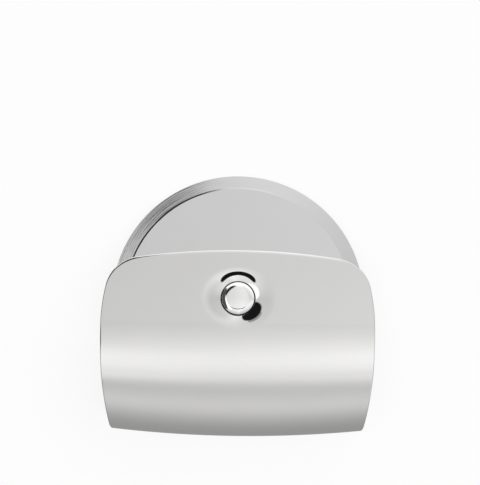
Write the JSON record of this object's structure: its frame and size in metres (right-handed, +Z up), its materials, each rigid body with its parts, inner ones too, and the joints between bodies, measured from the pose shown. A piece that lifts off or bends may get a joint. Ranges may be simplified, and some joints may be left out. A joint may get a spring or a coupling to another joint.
{
  "type": "pizza wheel",
  "caption": "Palm-held pizza wheel: a round steel blade turning on a rivet between the dimpled cheeks of a folded steel grip.",
  "frame": {"origin": "middle of the bottom of its box, on the table it lies on", "axes": "+Z up from the table, +Y towards the open part of the blade, +X across the grip"},
  "size_m": [0.1084, 0.1028, 0.0292],
  "materials": {
    "satin_steel": "fine satin polish",
    "blade_steel": "polished face, ground bevel",
    "bright_steel": "bright polish",
    "dark_plastic": "moulded"
  },
  "bodies": {
    "handle": {"handle_shell": "satin_steel", "rivet_tube": "bright_steel", "rivet_pin": "bright_steel"},
    "wheel": {"cutting_wheel": "blade_steel", "front_bush": "dark_plastic", "rear_bush": "dark_plastic"}
  },
  "joints": [
    {"name": "wheel_spin", "type": "hinge", "parent": "handle", "child": "wheel", "pos_m": [0, 0.00206, 0.0083], "axis": [0, 0.1639, 0.9865], "continuous": true}
  ]
}
